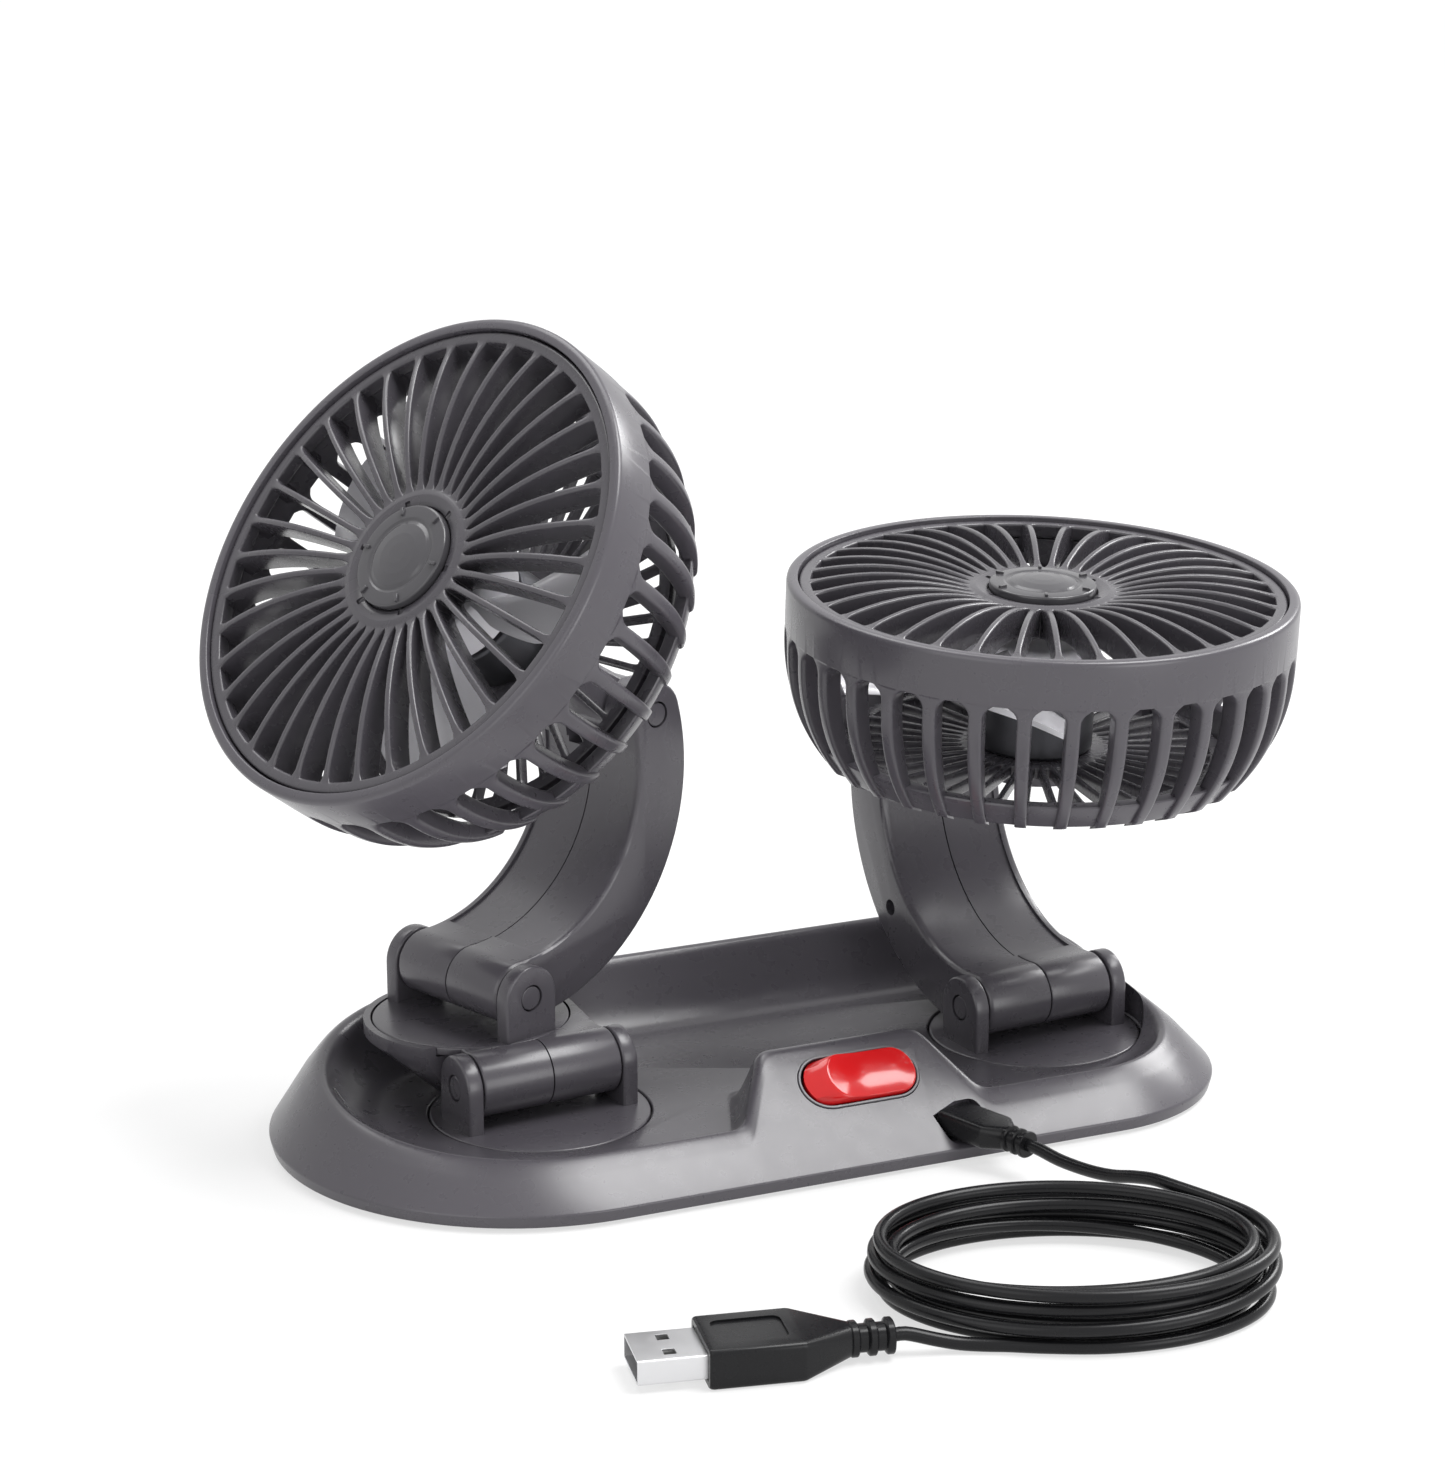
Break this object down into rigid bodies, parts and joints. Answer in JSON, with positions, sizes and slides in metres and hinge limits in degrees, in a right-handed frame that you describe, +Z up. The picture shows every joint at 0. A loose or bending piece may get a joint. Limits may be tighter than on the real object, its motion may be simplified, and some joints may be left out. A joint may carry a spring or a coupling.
{
  "type": "car fan",
  "caption": "Dashboard car fan with two tilting fan heads on curved folding arms, turntables in a tray-shaped base, a rocker switch and a coiled USB cord.",
  "frame": {"origin": "centre of the base's underside, on the face of the pad that it stands on", "axes": "+X along the base to the side of the flat-lying head, +Y to the back, away from the switch, +Z up"},
  "size_m": [0.2151, 0.2057, 0.158],
  "materials": {
    "body_plastic": "satin dark grey",
    "cover_plastic": "fine moulded grain, near black",
    "pad_rubber": "matte soft pad",
    "blade_plastic": "smooth light grey",
    "steel": "plain steel",
    "plated_steel": "bright plated sheet",
    "rocker_red": "glossy translucent red",
    "cord_black": "smooth soft PVC jacket",
    "tongue_white": "plain moulded",
    "board_green": "solder mask"
  },
  "bodies": {
    "base": {"base_shell": "body_plastic", "bottom_cover": "cover_plastic", "control_board": "board_green", "cord_coil": "cord_black", "cord_lead": "cord_black", "cord_tail": "cord_black", "cover_screw_1": "steel", "cover_screw_2": "steel", "cover_screw_3": "steel", "cover_screw_4": "steel", "dash_pad": "pad_rubber", "inlet_plug": "cord_black", "switch_housing": "cover_plastic", "usb_inlet": "steel", "usb_plug_body": "cord_black", "usb_plug_shell": "plated_steel", "usb_plug_tongue": "tongue_white"},
    "switch_rocker": {"switch_rocker": "rocker_red"},
    "left_turntable": {"left_turntable": "body_plastic", "left_turntable_retainer": "steel", "left_base_pin": "body_plastic"},
    "left_arm": {"left_arm_left_half": "body_plastic", "left_arm_right_half": "body_plastic", "left_head_pin": "body_plastic"},
    "left_head": {"left_head_bracket": "body_plastic", "left_head_housing": "body_plastic", "left_front_grille": "body_plastic", "left_hub_cap": "body_plastic", "left_rear_grille": "body_plastic", "left_motor": "steel"},
    "left_fan": {"left_impeller": "blade_plastic", "left_motor_shaft": "steel"},
    "right_turntable": {"right_turntable": "body_plastic", "right_turntable_retainer": "steel", "right_base_pin": "body_plastic"},
    "right_arm": {"right_arm_left_half": "body_plastic", "right_arm_right_half": "body_plastic", "right_head_pin": "body_plastic"},
    "right_head": {"right_head_bracket": "body_plastic", "right_head_housing": "body_plastic", "right_front_grille": "body_plastic", "right_hub_cap": "body_plastic", "right_rear_grille": "body_plastic", "right_motor": "steel"},
    "right_fan": {"right_impeller": "blade_plastic", "right_motor_shaft": "steel"},
    "left_link": {"left_link_left_half": "body_plastic", "left_link_right_half": "body_plastic"},
    "left_swivel": {"left_swivel": "body_plastic", "left_swivel_retainer": "steel", "left_swivel_pin": "body_plastic"}
  },
  "joints": [
    {"name": "switch_rocker", "type": "hinge", "parent": "base", "child": "switch_rocker", "pos_m": [0.0094, -0.03537, 0.01538], "axis": [0, -0.766, -0.6428], "range_deg": [0, 10]},
    {"name": "left_turntable", "type": "hinge", "parent": "base", "child": "left_turntable", "pos_m": [-0.0455, -0.0058, 0.007], "axis": [0, 0, 1], "range_deg": [-60, 120]},
    {"name": "left_link_fold", "type": "hinge", "parent": "left_turntable", "child": "left_link", "pos_m": [-0.0455, -0.0058, 0.015], "axis": [0.9962, 0.0872, 0], "range_deg": [0, 30]},
    {"name": "left_swivel", "type": "hinge", "parent": "left_link", "child": "left_swivel", "pos_m": [-0.05183, 0.01493, 0.0211], "axis": [0, 0, 1], "range_deg": [-90, 120]},
    {"name": "left_arm_fold", "type": "hinge", "parent": "left_swivel", "child": "left_arm", "pos_m": [-0.05183, 0.01493, 0.0291], "axis": [0.3338, -0.9426, 0], "range_deg": [-10, 30]},
    {"name": "left_head_tilt", "type": "hinge", "parent": "left_arm", "child": "left_head", "pos_m": [-0.01666, 0.02738, 0.07862], "axis": [0.3338, -0.9426, 0], "range_deg": [-50, 15]},
    {"name": "left_fan_spin", "type": "hinge", "parent": "left_head", "child": "left_fan", "pos_m": [-0.05415, 0.01411, 0.10783], "axis": [-0.7597, -0.269, 0.592], "continuous": true},
    {"name": "right_turntable", "type": "hinge", "parent": "base", "child": "right_turntable", "pos_m": [0.0647, -0.0058, 0.007], "axis": [0, 0, 1], "range_deg": [-5, 120]},
    {"name": "right_arm_fold", "type": "hinge", "parent": "right_turntable", "child": "right_arm", "pos_m": [0.0647, -0.0058, 0.015], "axis": [0.9962, 0.0872, 0], "range_deg": [-4, 55]},
    {"name": "right_head_tilt", "type": "hinge", "parent": "right_arm", "child": "right_head", "pos_m": [0.06095, 0.0371, 0.0596], "axis": [0.9962, 0.0872, 0], "range_deg": [-90, 10]},
    {"name": "right_fan_spin", "type": "hinge", "parent": "right_head", "child": "right_fan", "pos_m": [0.06458, -0.00443, 0.08615], "axis": [0.0053, -0.0608, 0.9981], "continuous": true}
  ]
}
